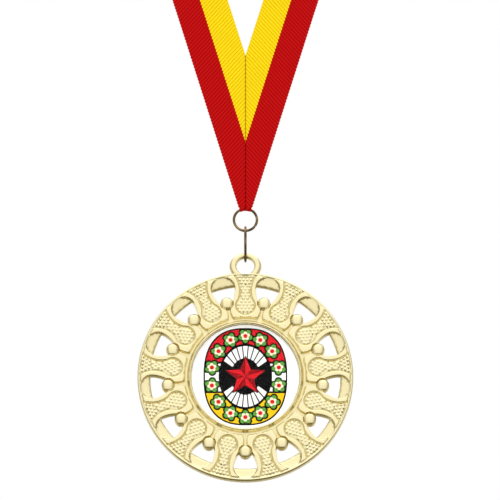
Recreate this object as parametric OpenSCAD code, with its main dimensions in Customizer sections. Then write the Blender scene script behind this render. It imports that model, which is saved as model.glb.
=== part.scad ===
// Award medal on a neck ribbon: an openwork gilt casting with a domed centre insert, hung by two
// interlocked jump rings from a two-colour woven ribbon that is sewn to a point.
// Millimetres, +Z up, the face towards -Y. The origin is the hang point: the inside of the
// ribbon's loop at its top, where a peg or a neck carries it.

/* [Medal casting] */
// Diameter of the casting
disc_d = 50; // [49:0.5:51]
// Thickness of the casting at its rim
disc_t = 2.6; // [2.4:0.1:3.0]
// Number of spokes, with one ball between each two
spokes = 13; // [11:1:14]
// Radius of the rim's inner edge
rim_inner_r = 22; // [21.7:0.1:22.3]
// Radius on which the balls sit
ball_ring_r = 18.05; // [17.8:0.05:18.3]
// Radius of one ball
ball_r = 1.45; // [1.3:0.05:1.5]
// How far the backs of the spokes are set in from the rim's back
back_step = 0.3; // [0.2:0.05:0.4]

/* [Lug] */
// Radius of the hole that the link ring passes through
lug_hole_r = 2.05; // [1.9:0.05:2.1]
// Height of the hole's centre above the centre of the casting
lug_hole_h = 26.7; // [26.6:0.05:26.9]
// Half width of the lug
lug_half_w = 3.74; // [3.5:0.02:4]
// Height of the lug above its own centre
lug_half_h = 3.15; // [3.1:0.05:3.4]
// Thickness of the lug
lug_t = 2.2; // [2:0.1:2.3]

/* [Centre insert] */
// Diameter of the printed insert, a standard size
insert_d = 25; // [24.8:0.1:25]
// Clearance all round the insert in its recess
insert_gap = 0.1; // [0.05:0.05:0.15]
// Height of the recess floor above the casting's back
recess_floor = 1.0; // [0.9:0.05:1.1]
// Thickness of the adhesive pad
adhesive_t = 0.15; // [0.1:0.05:0.2]
// Thickness of the printed insert
insert_t = 0.4; // [0.3:0.05:0.45]
// Height of the clear dome at its edge
dome_edge_t = 0.3; // [0.2:0.05:0.35]
// Height of the clear dome at its middle
dome_crown_t = 0.95; // [0.8:0.05:1.0]

/* [Rings] */
// Radius of the wire that both rings are bent from
wire_r = 0.3; // [0.28:0.01:0.32]
// Radius of the ribbon ring, to the middle of its wire
ribbon_ring_r = 2.7; // [2.6:0.05:2.9]
// Radius of the link ring, to the middle of its wire
link_ring_r = 4.0; // [3.8:0.05:4.4]
// Clearance between two pieces that hang in each other
link_gap = 0.08; // [0.06:0.01:0.12]
// Angle of the butt gap where each ring closes
ring_cut = 3; // [2:0.5:5]

/* [Ribbon] */
// Width of the woven ribbon
ribbon_w = 12; // [11:0.5:13]
// Thickness of the woven ribbon
ribbon_t = 0.4; // [0.35:0.05:0.45]
// Angle of each strap from the vertical
strap_angle = 16.9; // [16:0.1:18]
// Radius of the loop's arch, to the middle of the ribbon
loop_r = 17; // [16:0.5:20]
// Width of the sewn point where it meets the ribbon ring
tip_w = 2.96; // [2.8:0.02:3.1]
// Width of the end that is folded round the ribbon ring
fold_w = 1.7; // [1.5:0.1:1.8]
// Width of the ends that are folded back along the seam
allowance_w = 2.6; // [2.2:0.1:3]
// Length of the folded end behind the ribbon
tip_fold_l = 6; // [5:0.5:7]

/* [Hidden] */
$fn = 96;
hair = 0.02;         // gap left between sewn layers, so that they touch and never overlap
colour_gap = 0.03;   // gap left between the solids of the two colours
seam_gap = 0.06;     // width of the closed seam between the two straps
over = 0.5;          // how far a cutting shape runs past what it cuts

// The loop and the two straps, from the hang point down
arch_z = -(loop_r - ribbon_t / 2);
centre_meet_z = arch_z - loop_r / sin(strap_angle);
edge_rise = ribbon_w / 2 / sin(strap_angle);
outer_meet_z = centre_meet_z - edge_rise;
notch_z = centre_meet_z + edge_rise;
tip_z = outer_meet_z + tip_w / 2 / tan(strap_angle);
strap_end_z = tip_z + 0.25;

// The two rings, each hanging in the one above
fold_sag = ribbon_ring_r - sqrt(pow(ribbon_ring_r, 2) - pow(fold_w / 2, 2));
fold_r = wire_r + fold_sag + 0.04;
rings_y = fold_r + ribbon_t / 2;
ribbon_ring_top = tip_z;
ribbon_ring_bottom = ribbon_ring_top - 2 * ribbon_ring_r;
link_ring_top = ribbon_ring_bottom + 2 * wire_r + link_gap;
link_ring_bottom = link_ring_top - 2 * link_ring_r;

// The link ring's wire rises as it leaves the lug, so the lug hangs a little above its middle
wire_rise = link_ring_r - sqrt(pow(link_ring_r, 2) - pow(lug_t / 2, 2));
wire_cover = wire_r * link_ring_r / sqrt(pow(link_ring_r, 2) - pow(lug_t / 2, 2));
hole_top_z = link_ring_bottom + wire_rise + wire_cover + link_gap;
disc_z = hole_top_z - lug_hole_r - lug_hole_h;
disc_r = disc_d / 2;
back_y = rings_y + disc_t / 2;
insert_r = insert_d / 2;
recess_r = insert_r + insert_gap;

// Heights of the relief above the casting's back
rim_h = disc_t;
rim_inner_h = disc_t - 1.05;
border_h = disc_t - 0.25;
field_h = disc_t - 0.65;
web_h = disc_t - 1.15;
hub_h = disc_t;
web_r = 18.6;
ball_h = disc_t - ball_r;

// One spoke: a round head below a waist, flaring to two barbs that lie on the rim
head_r = 3.5;
head_at = 16.1;
root_at = 14.1;
waist_half = 2.42;
waist_at = 21.0;
barb = [4.75, 23.8];
barb_back = [2.9, 24.25];
field_head_r = 2.27;
field_head_at = 16.93;
field_waist_half = 1.33;
field_waist_at = 20.5;
field_top = [2.6, 24.0];

// Sewing
stitch_l = 1.1;
stitch_pitch = 1.8;
stitch_r = 0.11;
stitch_row = fold_w - 0.4;
layer_back = 1.5 * ribbon_t + hair + stitch_r + hair;

function arc(centre, r, from, to, steps) =
    [for (i = [0:steps]) centre + r * [cos(from + (to - from) * i / steps), sin(from + (to - from) * i / steps)]];
function mirrored(points) = [for (i = [len(points) - 1:-1:0]) [-points[i][0], points[i][1]]];

// Radius of the arc that leaves a waist upright and runs through a point [dx, dy] away from it
function flare_r(dx, dy) = (dx * dx + dy * dy) / (2 * dx);

// Half outline of a spoke from its root, round the head, past the waist to its outer corner
function spoke_half(head_at, head_r, head_from, join, waist_half, waist_at, corner) =
    let (
        join_half = head_r * cos(join),
        join_at = head_at + head_r * sin(join),
        low_r = flare_r(join_half - waist_half, waist_at - join_at),
        high_r = flare_r(corner[0] - waist_half, corner[1] - waist_at),
        low_angle = asin((waist_at - join_at) / low_r),
        high_angle = asin((corner[1] - waist_at) / high_r)
    )
    concat(
        arc([0, head_at], head_r, head_from, join, 12),
        arc([waist_half + low_r, waist_at], low_r, 180 + low_angle * 0.8, 180, 4),
        arc([waist_half + high_r, waist_at], high_r, 180 - high_angle / 6, 180 - high_angle, 5)
    );

// Path [y, z] of the strip that passes under the ribbon ring's wire and turns up behind it
function fold_path(r) =
    concat(
        [[rings_y - r, strap_end_z - hair]],
        arc([rings_y, tip_z], r, 180, 350, 12),
        [[rings_y + r, tip_z + 0.4], [rings_y + r * 0.8, tip_z + 0.9]]
    );

// The ribbon's centre line: up the right strap, over the arch and down the left strap.
// Each entry is [position, direction along, turn of the flat face from front to outward].
twist_from = 0.62;   // part of the strap's length at which it starts to turn
strap_l = loop_r / tan(strap_angle);
arch_turn = 180 + 2 * strap_angle;
function smooth(t) = t <= 0 ? 0 : t >= 1 ? 1 : t * t * (3 - 2 * t);
function strap_at(s) =
    [[s * strap_l * sin(strap_angle), centre_meet_z + s * strap_l * cos(strap_angle)],
     [sin(strap_angle), cos(strap_angle)], 90 * smooth((s - twist_from) / (1.12 - twist_from))];
function arch_at(s) =
    let (a = -strap_angle + arch_turn * s, extra = s * loop_r * arch_turn * PI / 180 / strap_l)
    [[loop_r * cos(a), arch_z + loop_r * sin(a)], [-sin(a), cos(a)],
     90 * smooth((1 + extra - twist_from) / (1.12 - twist_from))];

// One cross-section of a colour half, across is 0 at the middle and 1 at the outer edge
function section(place, from, to) =
    let (
        outward = [place[1][1], -place[1][0]],
        turn = place[2],
        edge = [outward[0] * cos(turn), sin(turn), outward[1] * cos(turn)],
        face = [outward[0] * sin(turn), -cos(turn), outward[1] * sin(turn)],
        middle = [place[0][0], 0, place[0][1]],
        w = ribbon_w / 2,
        t = ribbon_t / 2
    )
    [middle + edge * w * from + face * t, middle + edge * w * to + face * t,
     middle + edge * w * to - face * t, middle + edge * w * from - face * t];

// A section across the sewn point, level, from the seam or colour line out to a strap's edge
function level_section(z, inner, outer) =
    [[inner, -ribbon_t / 2, z], [outer, -ribbon_t / 2, z], [outer, ribbon_t / 2, z], [inner, ribbon_t / 2, z]];
function outer_half(z) = (z - outer_meet_z) * tan(strap_angle);
function colour_half(z) = max((z - centre_meet_z) * tan(strap_angle), seam_gap / 2);
function flip_x(ring) = [for (p = ring) [-p[0], p[1], p[2]]];

// Skin of a closed strip given its four-point rings
module strip(rings) {
    n = len(rings);
    polyhedron(
        points = [for (ring = rings) for (p = ring) p],
        faces = concat(
            [[0, 1, 2, 3]],
            [for (i = [0:n - 2]) for (k = [0:3]) [4 * i + (k + 1) % 4, 4 * i + k, 4 * i + 4 + k]],
            [for (i = [0:n - 2]) for (k = [0:3]) [4 * i + (k + 1) % 4, 4 * i + 4 + k, 4 * i + 4 + (k + 1) % 4]],
            [[4 * n - 1, 4 * n - 2, 4 * n - 3, 4 * n - 4]]
        )
    );
}

// Upper part of one colour half, from the notch of the two straps over the arch to its top
function loop_rings(from, to) =
    concat(
        [for (i = [0:7]) section(strap_at(0.44 + 0.56 * i / 8), from, to)],
        [for (i = [0:20]) section(arch_at(i / 40), from, to)]
    );

// The whole half: up the right strap, over the arch and, mirrored, down the left strap
module ribbon_half(start, from, to) {
    side = concat(start, loop_rings(from, to));
    strip(concat(side, [for (i = [len(side) - 2:-1:0]) flip_x(side[i])]));
}

module in_disc() {
    translate([0, back_y, disc_z]) rotate([90, 0, 0]) children();
}

module each_spoke() {
    for (i = [0:spokes - 1]) rotate(360 * i / spokes) children();
}

module rim() {
    rotate_extrude()
        polygon([
            [rim_inner_r, back_step], [rim_inner_r + 0.5, 0], [disc_r - 0.35, 0], [disc_r, 0.35],
            [disc_r, rim_h - 0.45], [disc_r - 0.15, rim_h - 0.12], [disc_r - 0.45, rim_h],
            [disc_r - 0.75, rim_h - 0.1], [rim_inner_r + 0.15, rim_inner_h], [rim_inner_r, rim_inner_h - 0.15]
        ]);
}

module hub() {
    rotate_extrude()
        polygon([
            [0, 0], [recess_r + 1.1, 0], [recess_r + 1.4, back_step], [recess_r + 1.4, web_h],
            [recess_r + 0.75, web_h + 0.2], [recess_r + 0.4, hub_h - 0.1],
            [recess_r + 0.25, hub_h], [recess_r, hub_h - 0.15],
            [recess_r, recess_floor], [0, recess_floor]
        ]);
}

module web() {
    translate([0, 0, back_step]) linear_extrude(web_h - back_step) difference() {
        circle(web_r);
        circle(recess_r + 1.2);
    }
}

module spoke() {
    half = spoke_half(head_at, head_r, -asin((head_at - root_at) / head_r), 33, waist_half, waist_at, barb);
    translate([0, 0, back_step]) linear_extrude(border_h - back_step)
        polygon(concat(half, [barb_back], mirrored(concat(half, [barb_back]))));
}

module spoke_field() {
    half = spoke_half(field_head_at, field_head_r, -90, 43, field_waist_half, field_waist_at, field_top);
    translate([0, 0, field_h]) linear_extrude(disc_t) polygon(concat(half, mirrored(half)));
}

module ball() {
    rotate(180 / spokes) translate([0, ball_ring_r, 0]) {
        intersection() {
            translate([0, 0, ball_h]) sphere(ball_r);
            translate([0, 0, ball_h - 0.3]) cylinder(r = ball_r + over, h = ball_r + over);
        }
        translate([0, 0, back_step]) cylinder(r = ball_r - 0.05, h = ball_h - back_step);
    }
}

module lug() {
    translate([0, lug_hole_h + 0.05, (disc_t - lug_t) / 2]) linear_extrude(lug_t)
        polygon([for (a = [0:7.5:359]) [lug_half_w * cos(a), lug_half_h * sin(a)]]);
}

// Medal: rim, hub, web, spokes, balls and lug in one casting
module medal_casting() {
    color("#efe2a0") in_disc() difference() {
        union() {
            rim();
            hub();
            web();
            each_spoke() spoke();
            each_spoke() ball();
            lug();
        }
        each_spoke() spoke_field();
        translate([0, lug_hole_h, -over]) cylinder(r = lug_hole_r, h = disc_t + 2 * over);
    }
}

// Double-sided pad that holds the insert in its recess
module insert_adhesive() {
    color("#d8d8d0") in_disc() translate([0, 0, recess_floor]) cylinder(r = insert_r - 0.3, h = adhesive_t);
}

// Printed disc
module insert_disc() {
    color("white") in_disc() translate([0, 0, recess_floor + adhesive_t]) cylinder(r = insert_r, h = insert_t);
}

// Clear resin dome over the print
module insert_dome() {
    rise = dome_crown_t - dome_edge_t;
    dome_r = insert_r - 0.05;
    cap_r = (dome_r * dome_r + rise * rise) / (2 * rise);
    half_angle = asin(dome_r / cap_r);
    color("#f4f8ff", 0.3) in_disc() translate([0, 0, recess_floor + adhesive_t + insert_t]) rotate_extrude()
        polygon(concat([[0, 0], [dome_r, 0]], arc([0, dome_crown_t - cap_r], cap_r, 90 - half_angle, 90, 12)));
}

// A jump ring round the origin in the XY plane, its butt gap on +X
module jump_ring(r) {
    rotate(ring_cut / 2) rotate_extrude(angle = 360 - ring_cut) translate([r, 0]) circle(wire_r, $fn = 32);
}

// Upper ring, through the ribbon's fold, facing the front
module ribbon_ring() {
    color("#7a6238") translate([0, rings_y, tip_z - ribbon_ring_r]) rotate([90, 0, 0]) rotate(-35)
        jump_ring(ribbon_ring_r);
}

// Lower ring, edge-on, through the upper ring and the lug
module link_ring() {
    color("#6b5230") translate([0, rings_y, link_ring_top - link_ring_r]) rotate([0, 90, 0]) rotate(60)
        jump_ring(link_ring_r);
}

// Red half of the woven ribbon: the outer edge of both straps and the back edge of the arch
module ribbon_red_half() {
    start = [
        level_section(strap_end_z, seam_gap / 2, outer_half(strap_end_z)),
        level_section(centre_meet_z, seam_gap / 2, outer_half(centre_meet_z)),
        level_section(centre_meet_z + 2, colour_half(centre_meet_z + 2), outer_half(centre_meet_z + 2))
    ];
    color("#c4101a") ribbon_half(start, 0, 1);
}

// Yellow half: the inner edge of both straps and the front edge of the arch
module ribbon_yellow_half() {
    level_gap = colour_gap / cos(strap_angle);
    low_z = centre_meet_z + 0.5;
    start = [
        level_section(low_z, seam_gap / 2, colour_half(low_z) - level_gap),
        level_section(notch_z, seam_gap / 2, colour_half(notch_z) - level_gap)
    ];
    color("#f4dc1e") ribbon_half(start, -1, -colour_gap / (ribbon_w / 2));
}

// The cut ends of the ribbon, folded back behind the straps along the seam
module ribbon_seam_allowance() {
    top = notch_z - 1;
    bottom = tip_z + tip_fold_l + 0.5;
    color("#a80c16") for (side = [-1, 1]) translate([0, ribbon_t / 2 + hair, 0]) rotate([90, 0, 0])
        mirror([0, 0, 1]) linear_extrude(ribbon_t) polygon([
            [side * seam_gap / 2, bottom], [side * allowance_w, bottom],
            [side * allowance_w, top - allowance_w], [side * seam_gap / 2, top]
        ]);
}

// The sewn end: round under the ribbon ring's wire and up behind the ribbon
module ribbon_tip_fold() {
    inner = fold_path(fold_r);
    outer = fold_path(fold_r + ribbon_t);
    flat_y = ribbon_t / 2 + hair;
    top = tip_z + tip_fold_l;
    lay_z = tip_z + 1.7;
    leg = [[flat_y, lay_z], [flat_y, top], [flat_y + ribbon_t, top], [flat_y + ribbon_t, lay_z]];
    color("#b80e18") translate([-fold_w / 2, 0, 0]) rotate([90, 0, 90]) linear_extrude(fold_w)
        polygon(concat(inner, leg, [for (i = [len(outer) - 1:-1:0]) outer[i]]));
}

// Stitches across the folded tip and along both seam allowances, seen from behind
module seam_thread() {
    color("#8c0a12") {
        for (z = [tip_z + 2.6, tip_z + tip_fold_l - 0.8])
            translate([-stitch_row / 2, layer_back, z])
                rotate([0, 90, 0]) cylinder(r = stitch_r, h = stitch_row);
        for (side = [-1, 1])
            for (z = [tip_z + tip_fold_l + 1.5:stitch_pitch:notch_z - allowance_w - 2])
                translate([side * allowance_w * 0.55, layer_back, z]) cylinder(r = stitch_r, h = stitch_l, $fn = 16);
    }
}

medal_casting();
insert_adhesive();
insert_disc();
insert_dome();
link_ring();
ribbon_ring();
ribbon_red_half();
ribbon_yellow_half();
ribbon_seam_allowance();
ribbon_tip_fold();
seam_thread();
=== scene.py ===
"""Looks of an award medal: openwork gilt casting, domed insert, two jump rings, woven neck ribbon.

Lengths are in millimetres, and a mesh is turned into metres where its object is made. The
casting, the insert and the print are drawn in the medal's own plane: u to the right, v up from
its centre, and h, the height above the casting's back.
"""

import math

import bmesh
import bpy
import numpy as np
from mathutils import Matrix, Vector, kdtree
from mathutils.geometry import delaunay_2d_cdt


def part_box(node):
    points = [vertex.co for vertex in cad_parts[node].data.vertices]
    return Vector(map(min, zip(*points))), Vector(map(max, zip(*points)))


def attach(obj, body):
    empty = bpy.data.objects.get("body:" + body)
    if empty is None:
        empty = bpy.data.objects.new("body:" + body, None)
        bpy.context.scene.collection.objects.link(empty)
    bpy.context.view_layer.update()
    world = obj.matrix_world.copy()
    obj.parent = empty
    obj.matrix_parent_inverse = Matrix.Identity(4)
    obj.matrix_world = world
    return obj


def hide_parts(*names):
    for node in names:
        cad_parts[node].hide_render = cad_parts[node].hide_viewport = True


MM = 0.001
TURN = 2 * math.pi
SLIVER = 1e-6
MERGE = 0.001

# Medal casting
SPOKES = 13
SECTOR = TURN / SPOKES
RECESS_R = 12.6
WEB_R = 18.6
RIM_INNER_R = 22.0
DISC_R = 25.0
BALL_RING_R = 18.05
BALL_R = 1.5
BALL_H = 1.8
BALL_FLAT = 0.48
BORDER_H = 2.35
BORDER_CROWN = 0.07
FIELD_H = 2.08
FLOOR_H = 1.0
BACK_STEP = 0.3
SIDE_H = (0.35, 2.15)
CREST_FROM = 24.1
ARC_STEPS = 28
BALL_STEPS = 28
HUB_PROFILE = [
    (12.6, 2.3), (12.67, 2.47), (12.78, 2.57), (12.92, 2.57), (13.05, 2.46), (13.22, 2.08),
    (13.36, 1.72), (13.5, 1.6), (13.85, 1.6), (14.3, 1.45), (18.45, 1.45), (18.6, 1.36),
]
RIM_PROFILE = [
    (22.0, 1.34), (22.07, 1.48), (22.2, 1.58), (22.7, 1.69), (23.3, 1.82), (23.9, 1.96),
    (24.25, 2.08), (24.38, 2.15), (24.5, 2.23), (24.62, 2.29), (24.72, 2.29), (24.84, 2.22),
    (24.94, 2.08), (25.0, 1.9),
]
BACK_PROFILE = [(0, 0), (13.7, 0), (14.0, 0.3), (22.0, 0.3), (22.5, 0), (24.65, 0), (25.0, 0.35)]

# One spoke and the dotted field in it
HEAD = dict(head_at=16.1, head_r=3.5, join=33, waist_half=2.42, waist_at=21.0, corner=(4.75, 23.8))
FIELD = dict(head_at=16.93, head_r=2.27, join=43, waist_half=1.33, waist_at=20.5, corner=(2.66, 24.15))
ROOT_R = 14.1
BARB_BACK = (2.9, 24.25)
BORDER_SLOPE = 0.13
FIELD_SLOPE = 0.06
WINDOW_OFFSET = -0.05
DOT_R = 0.27
DOT_H = 0.28
GROOVE = 0.08
DOT_PITCH = (0.86, 0.75)

# Lug
HOLE_R = 2.12
HOLE_AT = 26.7
LUG_AT = 26.75
LUG_HALF = (3.74, 3.15)

# Insert
INSERT_R = 12.5
INSERT_TOP = 1.55
DOME_R = 12.45
DOME_EDGE = 0.45
DOME_CROWN = 0.95
INK = 0.012

# Rings
WIRE_R = 0.3
RIBBON_RING_R = 2.7
LINK_RING_R = 4.0
RING_CUT = 3
RIBBON_RING_GAP = -35
LINK_RING_GAP = 60

# Ribbon: its centre line as in the part's source
STRAP_ANGLE = math.radians(16.9)
LOOP_R = 17.0
RIBBON_T = 0.4
ARCH_Z = -(LOOP_R - RIBBON_T / 2)
CENTRE_MEET_Z = ARCH_Z - LOOP_R / math.sin(STRAP_ANGLE)
STRAP_L = LOOP_R / math.tan(STRAP_ANGLE)
ARCH_HALF = LOOP_R * (math.pi / 2 + STRAP_ANGLE)
TWIST_FROM = 0.62
TWIST_TO = 1.12
CLOTH_HALF = 6.33
CLOTH_SHIFT = 0.2
NOTCH_Z = CENTRE_MEET_Z + (CLOTH_HALF + CLOTH_SHIFT) / math.sin(STRAP_ANGLE)
RIB_PITCH = 0.825
RIB_SLANT = 0.625
RIB_H = 0.07
RIB_ROWS = 6
ALLOWANCE_W = 2.6
SEAM_GAP = 0.03
TIP_FOLD_L = 6.0
FOLD_W = 1.7
FOLD_R = 0.477
CLOTH_T = 0.24
STITCH_R = 0.1
STITCH_L = 1.1
STITCH_PITCH = 1.8
BEHIND_FOLD_Y = 0.52
BEHIND_SEAM_Y = 0.56

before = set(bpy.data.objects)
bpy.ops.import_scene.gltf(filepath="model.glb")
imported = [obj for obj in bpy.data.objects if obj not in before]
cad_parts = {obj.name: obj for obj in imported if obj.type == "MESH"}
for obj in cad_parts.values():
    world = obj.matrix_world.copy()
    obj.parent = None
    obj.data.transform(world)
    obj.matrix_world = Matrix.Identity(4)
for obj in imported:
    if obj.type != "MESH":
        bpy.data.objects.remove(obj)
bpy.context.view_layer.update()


def middle(node):
    low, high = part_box(node)
    return (low + high) / 2 / MM


DISC_Z = middle("insert_disc").z
BACK_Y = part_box("medal_casting")[1].y / MM
RINGS_Y = middle("ribbon_ring").y
TIP_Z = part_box("ribbon_ring")[1].z / MM - WIRE_R
LINK_TOP_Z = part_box("link_ring")[1].z / MM - WIRE_R


# ---------------------------------------------------------------- meshes

def in_disc(u, v, h):
    """A point of the medal's plane in the row frame, in millimetres."""
    return (u, BACK_Y - h, DISC_Z + v)


def finish_piece(name, bm, materials, body, slot, *nodes):
    """Makes the object of a piece from its bmesh in millimetres."""
    bmesh.ops.scale(bm, vec=(MM, MM, MM), verts=bm.verts)
    mesh = bpy.data.meshes.new(name)
    bm.to_mesh(mesh)
    bm.free()
    piece = bpy.data.objects.new(name, mesh)
    bpy.context.scene.collection.objects.link(piece)
    for m in materials:
        mesh.materials.append(m)
    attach(piece, body)
    if nodes:
        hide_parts(*nodes)
    return piece


def shade_smooth(piece, sharp_angle):
    """Smooth shading, with edges steeper than the angle kept sharp."""
    piece.data.polygons.foreach_set("use_smooth", [True] * len(piece.data.polygons))
    piece.data.set_sharp_from_angle(angle=math.radians(sharp_angle))


def apply_modifier(piece, kind, **settings):
    """Adds a modifier to a piece and applies it."""
    modifier = piece.modifiers.new(kind, kind)
    for key, value in settings.items():
        setattr(modifier, key, value)
    bpy.context.view_layer.objects.active = piece
    bpy.ops.object.modifier_apply(modifier=modifier.name)


# ---------------------------------------------------------------- curves in a plane

def smooth(t):
    t = np.clip(t, 0, 1)
    return t * t * (3 - 2 * t)


def arc(centre, radius, start, end, steps):
    """Points on an arc from one angle to another, in degrees."""
    angles = np.radians(np.linspace(start, end, steps + 1))
    return np.stack([centre[0] + radius * np.cos(angles), centre[1] + radius * np.sin(angles)], 1)


def flare_r(dx, dy):
    """Radius of the arc that leaves a waist upright and runs through a point (dx, dy) from it."""
    return (dx * dx + dy * dy) / (2 * dx)


def spoke_side(start, head_at, head_r, join, waist_half, waist_at, corner):
    """Right side of a spoke: round its head, past its waist and out to its corner."""
    join_u = head_r * math.cos(math.radians(join))
    join_v = head_at + head_r * math.sin(math.radians(join))
    low_r = flare_r(join_u - waist_half, waist_at - join_v)
    high_r = flare_r(corner[0] - waist_half, corner[1] - waist_at)
    low = math.degrees(math.asin((waist_at - join_v) / low_r))
    high = math.degrees(math.asin((corner[1] - waist_at) / high_r))
    return np.concatenate([
        arc((0, head_at), head_r, start, join, 24),
        arc((waist_half + low_r, waist_at), low_r, 180 + low * 0.9, 180, 10),
        arc((waist_half + high_r, waist_at), high_r, 180 - high * 0.1, 180 - high, 10),
    ])


def resample(points, step):
    """The same open line with its points an even step apart."""
    length = np.concatenate([[0], np.cumsum(np.linalg.norm(np.diff(points, axis=0), axis=1))])
    count = max(1, round(length[-1] / step))
    at = np.linspace(0, length[-1], count + 1)
    return np.stack([np.interp(at, length, points[:, k]) for k in (0, 1)], 1)


def offset(points, distance):
    """An open line moved to its left."""
    along = np.gradient(points, axis=0)
    along /= np.linalg.norm(along, axis=1)[:, None]
    return points + distance * np.stack([-along[:, 1], along[:, 0]], 1)


def mirrored(points):
    return points[::-1] * [-1, 1]


def inside_distance(points, outline):
    """How far each point is inside a closed outline, and negative outside it."""
    a = outline
    ab = np.roll(outline, -1, axis=0) - a
    p = points[:, None, :] - a
    t = np.clip((p * ab).sum(2) / (ab * ab).sum(1), 0, 1)
    near = np.linalg.norm(p - t[..., None] * ab, axis=2).min(1)
    rise = np.where(ab[:, 1] == 0, 1e-12, ab[:, 1])
    crosses = (p[..., 1] < 0) != (p[..., 1] < ab[:, 1])
    right = p[..., 0] < p[..., 1] * ab[:, 0] / rise
    return np.where((crosses & right).sum(1) % 2 == 1, near, -near)


class Plan:
    """Points and fixed lines of a flat triangulation."""

    def __init__(self):
        self.points, self.edges = [], []

    def line(self, points, closed=False):
        first = len(self.points)
        self.points += [tuple(p) for p in points]
        last = len(self.points)
        self.edges += [(i, i + 1) for i in range(first, last - 1)]
        if closed:
            self.edges.append((last - 1, first))

    def scatter(self, points, keep_off):
        """Adds each point that is at least keep_off away from all the points so far."""
        tree = kdtree.KDTree(len(self.points) + 1)
        for i, p in enumerate(self.points):
            tree.insert((*p, 0), i)
        tree.insert((1e6, 0, 0), len(self.points))
        tree.balance()
        for p in points:
            if tree.find((*p, 0))[2] >= keep_off:
                self.points.append(tuple(p))

    def triangles(self, left_out):
        """The triangulation's points, its faces and, for each point, the points it came from.
        The fixed lines part it into regions. A region is left out where left_out() is true of
        the middle of its largest face, and so is a sliver outside the fixed lines."""
        given = [Vector(p) for p in self.points]
        found = delaunay_2d_cdt(given, self.edges, [], 0, MERGE, True)
        points, faces = np.array([tuple(p) for p in found[0]]), np.array(found[2])
        fixed = {tuple(sorted(e)) for e, ids in zip(found[1], found[4]) if ids}
        beside = {}
        for f, face in enumerate(faces):
            for k in range(3):
                edge = tuple(sorted((int(face[k]), int(face[k - 1]))))
                if edge not in fixed:
                    beside.setdefault(edge, []).append(f)
        linked = [[] for _ in faces]
        for pair in beside.values():
            if len(pair) == 2:
                linked[pair[0]].append(pair[1])
                linked[pair[1]].append(pair[0])
        a, b, c = (points[faces[:, k]] for k in range(3))
        area = np.abs(np.cross(b - a, c - a)) / 2
        kept, seen = [], np.zeros(len(faces), bool)
        for first in range(len(faces)):
            if seen[first]:
                continue
            seen[first] = True
            region, open_faces = [first], [first]
            while open_faces:
                for f in linked[open_faces.pop()]:
                    if not seen[f]:
                        seen[f] = True
                        region.append(f)
                        open_faces.append(f)
            largest = max(region, key=lambda f: area[f])
            if area[largest] > SLIVER and not left_out(points[faces[largest]].mean(0)[None])[0]:
                kept += region
        return points, faces[sorted(kept)], found[3]


# ---------------------------------------------------------------- casting

ROOT_V = (ROOT_R**2 + HEAD["head_at"] ** 2 - HEAD["head_r"] ** 2) / (2 * HEAD["head_at"])
ROOT_START = math.degrees(math.asin((ROOT_V - HEAD["head_at"]) / HEAD["head_r"]))
ROOT_ANGLE = math.degrees(math.acos(ROOT_V / ROOT_R))
SPOKE_SIDE = resample(spoke_side(ROOT_START, **HEAD), 0.21)
ROOT_ARC = arc((0, 0), ROOT_R, 90 - ROOT_ANGLE, 90 + ROOT_ANGLE, 18)[::-1]
FIELD_SIDE = resample(spoke_side(-90, **FIELD), 0.21)
BARB_TOP = np.array([SPOKE_SIDE[-1], BARB_BACK])
SPOKE = np.concatenate([ROOT_ARC[1:-1], SPOKE_SIDE, [BARB_BACK], mirrored(np.array([BARB_BACK])), mirrored(SPOKE_SIDE)])
FIELD_TOP = [(2.9, 24.9), (-2.9, 24.9)]
FIELD_OUTLINE = np.concatenate([FIELD_SIDE, FIELD_TOP, mirrored(FIELD_SIDE)[:-1]])
WINDOW_SIDE = offset(SPOKE_SIDE, WINDOW_OFFSET)
WINDOW_OUTLINE = np.concatenate([WINDOW_SIDE, mirrored(WINDOW_SIDE)])
BALLS = [BALL_RING_R * np.array([side * math.sin(SECTOR / 2), math.cos(SECTOR / 2)]) for side in (-1, 1)]


def dots():
    """Centres of the dots in one spoke's field."""
    rows = np.arange(14.9, 24.1, DOT_PITCH[1])
    grid = [
        ((k + 0.5 * (row % 2)) * DOT_PITCH[0], v)
        for row, v in enumerate(rows)
        for k in range(-4, 5)
    ]
    grid = np.array(grid)
    return grid[inside_distance(grid, FIELD_OUTLINE) > 0.36]


DOTS = dots()


def ball_arc(centre, radius, sweep):
    """Points round a ball from its outer side, as much of it as the sweep in degrees."""
    turn = math.degrees(math.atan2(centre[1], centre[0]))
    return arc(centre, radius, turn, turn + sweep, round(BALL_STEPS * abs(sweep) / 360))


def relief(points):
    """Height of the casting's front at points of the first sector."""
    r = np.linalg.norm(points, axis=1)
    base = np.interp(r, *zip(*(HUB_PROFILE + RIM_PROFILE)))
    d = inside_distance(points, SPOKE)
    e = inside_distance(points, FIELD_OUTLINE)
    across = np.clip(d / np.maximum(d - e, 1e-6), 0, 1)
    border = BORDER_H + BORDER_CROWN * 4 * across * (1 - across)
    field = FIELD_H + np.zeros(len(points))
    for centre in DOTS:
        near = np.linalg.norm(points - centre, axis=1) / DOT_R
        field += DOT_H * np.sqrt(np.clip(1 - near**2, 0, 1))
    inner = smooth((e + FIELD_SLOPE) / (2 * FIELD_SLOPE))
    field -= GROOVE * np.exp(-(((e - 0.05) / 0.07) ** 2))
    spoke = border + (field - border) * inner
    spoke = spoke + (base - spoke) * smooth((r - CREST_FROM) / 0.5)
    height = base + (spoke - base) * smooth((d + BORDER_SLOPE) / (2 * BORDER_SLOPE))
    for centre in BALLS:
        near = np.linalg.norm(points - centre, axis=1)
        dome = BALL_H + BALL_FLAT * np.sqrt(np.clip(BALL_R**2 - near**2, 0, None))
        height = np.where(near < BALL_R + 0.01, dome, height)
    return height


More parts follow.
